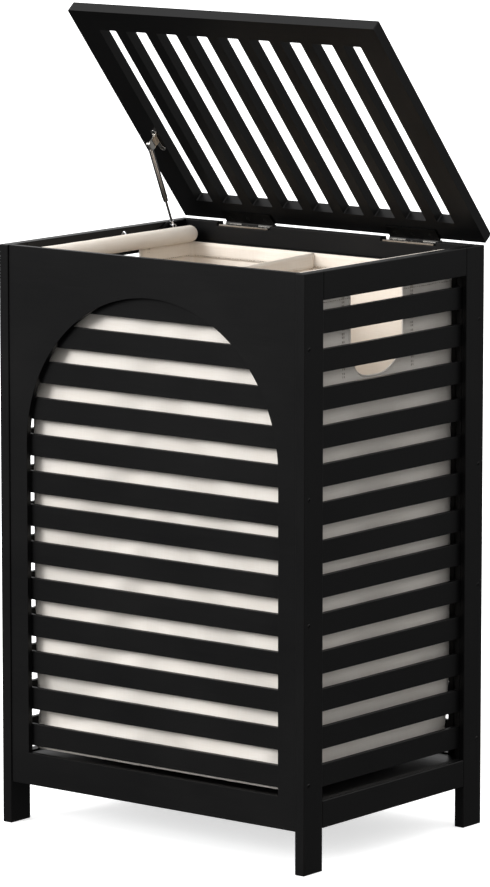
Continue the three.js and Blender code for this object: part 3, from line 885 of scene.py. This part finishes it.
    def _snap(self, vert: BMVert) -> None:
        """Moves a vertex of a window's edge to the nearest point of its outline."""
        bottom = self.rim - self.window_height
        r = self.window_corner
        offset = vert.co.y - self.window_y
        side = 1 if offset > 0 else -1
        if vert.co.z > bottom + r:
            vert.co.y = self.window_y + side * self.window_half
        elif abs(offset) < self.window_half - r:
            vert.co.z = bottom
        else:
            centre = Vector((self.window_y + side * (self.window_half - r), bottom + r))
            ray = (Vector((vert.co.y, vert.co.z)) - centre).normalized() * r
            vert.co.y, vert.co.z = centre + ray

    def _map_flat(self, shape: BMesh) -> None:
        """Gives the cloth its flat coordinates in metres, and keeps each point's place before it hung."""
        cut = shape.loops.layers.uv.new("cut")
        place = shape.verts.layers.float_vector.new("unhung")
        for vert in shape.verts:
            vert[place] = vert.co
        for face in shape.faces:
            n = face.normal
            for loop in face.loops:
                co = loop.vert.co
                if abs(n.z) > 0.7:
                    loop[cut].uv = (co.x, co.y)
                else:
                    loop[cut].uv = (co.y, co.z) if abs(n.x) > abs(n.y) else (co.x, co.z)

    # ---- hanging

    def _hang(self, piece: Object, held: Sequence[int], spare: float, frames: int) -> None:
        """Hangs a cloth from its held points under its own light weight, and keeps the result.

        Args:
            piece: the cloth, before any modifier.
            held: the indices of the points that don't move.
            spare: how much larger the cloth is than its frame, as a share.
            frames: the steps that it is given to settle.
        """
        group = piece.vertex_groups.new(name="held")
        group.add(list(held), 1.0, "REPLACE")
        modifier = piece.modifiers.new("hang", "CLOTH")
        for setting, value in CANVAS_CLOTH.items():
            setattr(modifier.settings, setting, value)
        modifier.settings.vertex_group_mass = "held"
        modifier.settings.shrink_min = -spare
        modifier.settings.effector_weights.gravity = CLOTH_GRAVITY
        modifier.collision_settings.use_collision = False
        modifier.point_cache.frame_start = 1
        modifier.point_cache.frame_end = frames
        scene = bpy.context.scene
        for step in range(1, frames + 1):
            scene.frame_set(step)
        hung = piece.evaluated_get(bpy.context.evaluated_depsgraph_get())
        places = [v.co.copy() for v in hung.data.vertices]
        piece.modifiers.remove(modifier)
        piece.vertex_groups.clear()
        scene.frame_set(1)
        for vert, place in zip(piece.data.vertices, places):
            vert.co = self._kept_close(vert.co, place)
        piece.data.update()

    def _kept_close(self, start: Vector, end: Vector) -> Vector:
        """Limits a point's move, so that the cloth stays clear of the slats and the bottom board."""
        move = end - start
        centre = (self.low + self.high) / 2
        for axis in (0, 1):
            outward = 1 if start[axis] > centre[axis] else -1
            half = (self.high[axis] - self.low[axis]) / 2
            on_wall = abs(abs(start[axis] - centre[axis]) - half) < self.corner
            step = move[axis] * outward
            most = self.most_out if on_wall and step > 0 else self.most_in
            move[axis] = most * math.tanh(step / most) * outward
        move.z = self.most_down * math.tanh(move.z / self.most_down)
        return start + move

    # ---- pieces

    def _at_seam(self, point: Vector) -> bool:
        """Whether a point is in the corded seam round the base, which holds its shape."""
        sides = [min(point[axis] - self.low[axis], self.high[axis] - point[axis]) for axis in (0, 1)]
        return point.z < self.low.z + self.base_corner and min(sides) < self.base_corner

    def _walls_and_base(self) -> tuple[Object, Object]:
        """The bag hung as one cloth, then parted at the seam round its base."""
        shape = self._shell()
        self._map_flat(shape)
        held = [
            v.index for v in shape.verts
            if v.co.z > self.rim - TOUCH or abs(v.co.x - self.divider_x) < TOUCH or self._at_seam(v.co)
        ]
        bag = to_object("liner_walls", shape, self.canvas)
        self._hang(bag, held, self.bag_spare, self.bag_steps)
        seam = self.low.z + self.base_corner * (1 - math.cos(math.radians(45))) + TOUCH
        low = faces_of(bag, lambda heights: sum(heights) / len(heights) < seam)
        high = faces_of(bag, lambda heights: sum(heights) / len(heights) >= seam)
        high.to_mesh(bag.data)
        high.free()
        return bag, to_object("liner_base", low, self.canvas)

    def _thicken(
        self, piece: Object, thickness: float, inside: Material | None = None
    ) -> Object:
        """Smooths a cloth and gives it its thickness.

        Args:
            piece: the cloth.
            thickness: its thickness.
            inside: the finish of its inner face, if that differs.

        Returns:
            The same cloth.
        """
        smooth = piece.modifiers.new("drape", "SUBSURF")
        smooth.levels = smooth.render_levels = 1
        smooth.boundary_smooth = "PRESERVE_CORNERS"
        solid = piece.modifiers.new("cloth", "SOLIDIFY")
        solid.thickness = thickness
        solid.offset = 0
        if inside is not None:
            piece.data.materials.append(inside)
            solid.material_offset = 1
        return piece

    def _hem(self, walls: Object) -> Object:
        """The turned-in band round the rim, lying against the inside of the walls."""
        shape = faces_of(walls, lambda heights: min(heights) >= self.rim - self.hem - TOUCH)
        for vert in shape.verts:
            vert.co -= vert.normal * self.cloth * 1.35
        return self._thicken(to_object("liner_rim_hem", shape, self.painted_bounce), self.cloth * 1.7)

    def _sleeve(self, side: int, word: str) -> Object:
        """The tube sewn round one dowel: a drop-shaped loop drawn along it and puckered shut at its ends."""
        shape = bmesh.new()
        radius = self.sleeve_radius - self.cloth / 2
        centre = Vector((side * self.axis.x, self.low.y, self.axis.z))
        upright = Matrix.Translation(centre) @ Matrix.Rotation(math.pi / 2, 4, "X")
        sides = self.sleeve_sides
        ring = bmesh.ops.create_circle(shape, segments=sides, radius=radius, matrix=upright)["verts"]
        keel = Vector((side * (self.high.x - 0.6 * MM), centre.y, self.rim + 0.2 * MM))
        to_keel = (keel - centre).normalized()
        for vert in ring:
            near = max(0.0, (vert.co - centre).normalized().dot(to_keel))
            vert.co = vert.co.lerp(keel, self.keel_reach * near ** self.keel_sharpness)
        length = self.high.y - self.low.y
        edges = list(shape.edges)
        for _ in range(self.sleeve_steps):
            made = bmesh.ops.extrude_edge_only(shape, edges=edges)["geom"]
            edges = only(BMEdge, made)
            bmesh.ops.translate(shape, verts=only(BMVert, made), vec=(0, length / self.sleeve_steps, 0))
        for vert in shape.verts:
            vert.co = self._puckered(vert.co, Vector((centre.x, vert.co.y, centre.z)), length)
        bmesh.ops.holes_fill(shape, edges=shape.edges, sides=0)
        shape.normal_update()
        self._map_round(shape, centre, radius)
        bmesh.ops.recalc_face_normals(shape, faces=shape.faces)
        return self._thicken(to_object(f"liner_{word}_sleeve", shape, self.painted_bounce), self.cloth)

    def _puckered(self, point: Vector, centre: Vector, length: float) -> Vector:
        """Draws a point of a sleeve in near its ends and gives it slight folds.

        Args:
            point: the point on the plain tube.
            centre: the point of the dowel's axis beside it.
            length: the sleeve's length.

        Returns:
            Where the point goes.
        """
        along = point.y - self.low.y
        short = max(0.0, self.sleeve_end - min(along, length - along)) / self.sleeve_end
        share = math.sqrt(max(0.0, 1 - short ** 2)) * (1 - self.sleeve_least) + self.sleeve_least
        sway = noise.noise(Vector((point.x * 60, point.y * 34, point.z * 60)))
        pucker = noise.noise(Vector((point.x * 260, point.y * 40, point.z * 260)))
        swell = 1 + 0.035 * sway + 0.05 * short * pucker
        return centre + (point - centre) * (share * swell - self.sleeve_slack)

    def _map_round(self, shape: BMesh, centre: Vector, radius: float) -> None:
        """Gives a tube its flat coordinates in metres: along it, and round it from the turn of each face."""
        cut = shape.loops.layers.uv.new("cut")
        for face in shape.faces:
            mid = face.calc_center_median() - centre
            about = math.atan2(mid.z, mid.x)
            for loop in face.loops:
                ray = loop.vert.co - centre
                turn = math.atan2(ray.z, ray.x)
                turn = about + (turn - about + math.pi) % (2 * math.pi) - math.pi
                loop[cut].uv = (loop.vert.co.y, turn * radius)

    def _divider(self) -> Object:
        """The wall between the two compartments, sewn in at the front, the back and the base."""
        low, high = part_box("liner_divider")
        depth, height = high.y - low.y, self.rim - self.low.z
        shape = bmesh.new()
        centre = Vector((self.divider_x, (low.y + high.y) / 2, self.rim - height / 2))
        matrix = Matrix.Translation(centre) @ Matrix(((0, 0, 1, 0), (1, 0, 0, 0), (0, 1, 0, 0), (0, 0, 0, 1)))
        matrix = matrix @ Matrix.Diagonal((depth / 2, height / 2, 1, 1))
        bmesh.ops.create_grid(
            shape, x_segments=round(depth / self.columns), y_segments=round(height / self.row), size=1,
            matrix=matrix,
        )
        for vert in shape.verts:
            across = (vert.co.y - low.y) / depth
            bow = math.sin(math.pi * across)
            vert.co.x += self.divider_sway * bow * noise.noise(Vector((0.3, vert.co.y * 9, vert.co.z * 5)))
            vert.co.z -= self.divider_sag * bow * max(0.0, (vert.co.z - self.low.z) / height)
        shape.normal_update()
        self._map_flat(shape)
        held = [
            v.index for v in shape.verts
            if min(v.co.y - low.y, high.y - v.co.y, v.co.z - self.low.z) < TOUCH
        ]
        divider = to_object("liner_divider_cloth", shape, self.painted_bounce)
        self._hang(divider, held, self.divider_spare, self.divider_steps)
        return divider

    def _divider_hem(self, divider: Object) -> Object:
        """The band folded over the divider's top edge, on both of its faces."""
        shape = bmesh.new()
        line = self.rim - self.hem - self.row / 2
        for face_way in (-1, 1):
            part = faces_of(divider, lambda heights: min(heights) >= line)
            for vert in part.verts:
                vert.co += vert.normal * face_way * self.cloth * 0.95
            if face_way < 0:
                bmesh.ops.reverse_faces(part, faces=part.faces)
            merge_into(shape, part)
        return self._thicken(to_object("liner_divider_hem", shape, self.painted_bounce), self.cloth)

    def _open_edges(self, piece: Object, at_base: bool) -> list[list[Vector]]:
        """The open edges of a cloth as lines of points.

        Args:
            piece: the cloth.
            at_base: whether to take the seam round the base, or the handle windows.

        Returns:
            One line for each run of open edges.
        """
        shape = opened(piece.data)
        place = shape.verts.layers.float_vector["unhung"]

        def chosen(edge: BMEdge) -> bool:
            heights = [v[place].z for v in edge.verts]
            at_rim = min(heights) > self.rim - TOUCH
            low_edge = max(heights) < self.low.z + self.base_corner
            return edge.is_boundary and not at_rim and low_edge == at_base

        edges = {e for e in shape.edges if chosen(e)}
        lines = []
        while edges:
            ends = [e for e in edges for v in e.verts if sum(o in edges for o in v.link_edges) == 1]
            edge = min(ends or edges, key=lambda e: e.index)
            vert = next((v for v in edge.verts if sum(o in edges for o in v.link_edges) == 1), edge.verts[0])
            line = [vert.co.copy()]
            while edge is not None:
                edges.discard(edge)
                vert = edge.other_vert(vert)
                line.append(vert.co.copy())
                edge = next((e for e in vert.link_edges if e in edges), None)
            lines.append(line)
        shape.free()
        return lines

    def _bead(self, name: str, lines: list[list[Vector]], radius: float) -> Object:
        """A rolled edge along open edges of the cloth."""
        shape = bmesh.new()
        for line in lines:
            ring = (line[0] - line[-1]).length < TOUCH
            merge_into(shape, tube_along(line[:-1] if ring else line, radius, ring))
        cut = shape.loops.layers.uv.new("cut")
        for face in shape.faces:
            for loop in face.loops:
                loop[cut].uv = (loop.vert.co.y + loop.vert.co.x, loop.vert.co.z)
        return to_object(name, shape, self.canvas)

    def _sew(self, name: str, lines: list[list[Vector]]) -> Object:
        """Stitches of thread along lines: each a small spindle, one after another."""
        shape = bmesh.new()
        pitch = self.stitch + self.stitch_gap
        for line in lines:
            left = pitch / 2
            for start, end in zip(line, line[1:]):
                span = end - start
                while left < span.length:
                    spot = start + span.normalized() * left
                    turn = span.to_track_quat("X", "Z").to_matrix().to_4x4()
                    size = Matrix.Diagonal((self.stitch / 2, self.thread, self.thread, 1))
                    bmesh.ops.create_icosphere(
                        shape, subdivisions=1, radius=1, matrix=Matrix.Translation(spot) @ turn @ size
                    )
                    left += pitch
                left -= span.length
        return to_object(name, shape, Thread().material())

    def _line(
        self, piece: Object, kept: Callable[[Vector], bool], shift: Vector, out: float
    ) -> list[list[Vector]]:
        """Lines along the cloth's own grid, for its stitches.

        Args:
            piece: the cloth.
            kept: whether a point is on the line, from its place before the cloth hung.
            shift: how far the stitches run beside the line.
            out: how far off the cloth they run, along the cloth's normals.

        Returns:
            One short line for each edge of the grid.
        """
        shape = opened(piece.data)
        shape.normal_update()
        place = shape.verts.layers.float_vector["unhung"]
        on_line = {v for v in shape.verts if kept(v[place])}
        edges = [e for e in shape.edges if all(v in on_line for v in e.verts)]
        lines = [[v.co + v.normal * out + shift for v in e.verts] for e in edges]
        shape.free()
        return lines

    def _seams(self, walls: Object, divider: Object) -> list[list[Vector]]:
        """Every line of stitches: under the hems, and two down each side wall beyond its window."""
        def under_hem(point: Vector) -> bool:
            return abs(point.z - (self.rim - self.hem)) < 3 * TOUCH

        reach = self.window_half + self.band
        places = {v.vector.y for v in walls.data.attributes["unhung"].data}
        columns = [min(places, key=lambda y: abs(y - self.window_y - side * reach)) for side in (-1, 1)]

        def beside_window(point: Vector) -> bool:
            side = abs(abs(point.x) - self.high.x) < TOUCH
            near = min(abs(point.y - column) for column in columns) < TOUCH
            return side and near and point.z > self.rim - self.window_height

        rows = []
        for out in (-2.3 * self.cloth, 0.6 * self.cloth):
            rows += self._line(walls, under_hem, AXIS_Z * self.below_hem, out)
            for beside in (-self.beside_seam, self.beside_seam):
                rows += self._line(walls, beside_window, AXIS_Y * beside, out)
        for out in (-1.6 * self.cloth, 1.6 * self.cloth):
            rows += self._line(divider, under_hem, Vector(), out)
        return rows

    def build(self) -> None:
        """Makes the liner's pieces."""
        walls, base = self._walls_and_base()
        hem = self._hem(walls)
        divider = self._divider()
        divider_hem = self._divider_hem(divider)
        binding = self._bead("liner_window_bindings", self._open_edges(walls, False), self.binding)
        piping = self._bead("liner_base_piping", self._open_edges(walls, True), self.piping)
        stitches = self._sew("liner_stitches", self._seams(walls, divider))
        # The inner faces take the painted bounce shade.
        self._thicken(walls, self.cloth, self.painted_bounce)
        self._thicken(base, self.cloth, self.painted_bounce)
        self._thicken(divider, self.cloth)
        sleeves = [self._sleeve(side, word) for side, word in ((-1, "left"), (1, "right"))]
        settle(walls, "cabinet", "canvas", "liner_bag")
        settle(divider, "cabinet", "canvas", "liner_divider")
        for piece in (base, hem, divider_hem, binding, piping, stitches, *sleeves):
            settle(piece, "cabinet", "canvas")


# ---- studio


@dataclass
class Studio:
    """The pale floor, the white surroundings, the soft key light and the camera."""

    azimuth: float = 38.17
    elevation: float = 9.09
    lens: float = 218.6
    distance: float = 6.319
    aim: tuple[float, float, float] = (0.0031, -0.0044, 0.4549)
    floor_half: float = 60.0
    floor_glow: float = 0.62
    sky: tuple[tuple[float, float], ...] = ((0.4, 0.06), (0.55, 0.75), (1.0, 1.5))
    key_power: float = 1.6
    key_spread: float = 22.0
    key_way: tuple[float, float, float] = (-0.3, -0.87, 0.39)
    card_power: float = 9.0
    card_size: tuple[float, float] = (1.6, 0.9)
    card_place: tuple[float, float, float] = (-0.8, -1.5, 1.3)
    card_way: tuple[float, float, float] = (-0.8, -1.5, 0.7)

    def _world(self) -> None:
        """Pale surroundings that are brightest overhead and dim below the level of the floor."""
        room = Shader("pale_room", "worlds")
        lift = room.number("ShaderNodeMapRange", {}, {"Value": room.part(room.place(), 2), "From Min": -1})
        ramp = room.node("ShaderNodeValToRGB", {}, {0: lift})
        stops = ramp.color_ramp.elements
        stops.new(self.sky[1][0])
        for stop, (place, tone) in zip(stops, self.sky):
            stop.position = place
            stop.color = (tone, tone, tone, 1)
        sky = room.node("ShaderNodeBackground", {}, {"Color": ramp.outputs[0]})
        room.node("ShaderNodeOutputWorld", {}, {"Surface": sky.outputs[0]})
        bpy.context.scene.world = room.owner

    def _floor(self) -> None:
        """A wide pale floor, a little uneven in tone as plain painted board is."""
        shape = bmesh.new()
        bmesh.ops.create_grid(shape, x_segments=4, y_segments=4, size=self.floor_half)
        bmesh.ops.translate(shape, verts=shape.verts, vec=(0, 0, -0.2 * MM))
        shader = Shader("pale_floor")
        tone = shader.cloud(shader.place(), 1.5, 2)
        finish = shader.surface(
            Base_Color=shader.blend(tone, (0.93, 0.93, 0.93), (0.91, 0.91, 0.91)),
            Roughness=0.8,
            Specular_IOR_Level=0.1,
            Emission_Color=(1, 1, 1, 1),
            Emission_Strength=self.floor_glow,
        )
        floor = to_object("floor", shape, finish)
        floor.visible_glossy = False
        floor.visible_diffuse = False

    def _stand(
        self, data: ID, place: Sequence[float], way: Sequence[float], **settings: object
    ) -> Object:
        """Sets up a lamp or the camera.

        Args:
            data: what stands there.
            place: where it stands.
            way: the direction from what it faces towards it.
            settings: its own settings, by name.

        Returns:
            The object.
        """
        for key, value in settings.items():
            setattr(data, key, value)
        made = bpy.data.objects.new(data.name, data)
        made.location = place
        made.rotation_mode = "QUATERNION"
        made.rotation_quaternion = Vector(way).to_track_quat("Z", "Y")
        bpy.context.scene.collection.objects.link(made)
        return made

    def _lamps(self) -> None:
        """A broad, low key light from the front left, and a soft box for the hamper's upper half."""
        key = bpy.data.lights.new("key", "SUN")
        self._stand(key, (0, 0, 0), self.key_way, energy=self.key_power, angle=math.radians(self.key_spread))
        card = self._stand(
            bpy.data.lights.new("card", "AREA"), self.card_place, self.card_way, shape="RECTANGLE",
            size=self.card_size[0], size_y=self.card_size[1], energy=self.card_power,
        )
        card.visible_camera = False

    def _camera(self) -> None:
        """The camera, looking a little down at the hamper's front right corner."""
        turn, tilt = math.radians(self.azimuth), math.radians(self.elevation)
        way = Vector((math.sin(turn) * math.cos(tilt), -math.cos(turn) * math.cos(tilt), math.sin(tilt)))
        bpy.context.scene.camera = self._stand(
            bpy.data.cameras.new("camera"), Vector(self.aim) + way * self.distance, way,
            lens=self.lens, sensor_width=36, clip_end=200,
        )

    def build(self) -> None:
        """Sets the whole studio up."""
        bpy.context.scene.view_settings.view_transform = "Standard"
        self._camera()
        self._world()
        self._floor()
        self._lamps()
        LOG.info("studio ready")


def main() -> None:
    """Builds the studio and every sub-assembly."""
    logging.basicConfig(level=logging.INFO, format="%(name)s: %(message)s")
    Studio().build()
    Boards().build()
    Fittings().build()
    Liner().build()


if __name__ == "__main__":
    main()
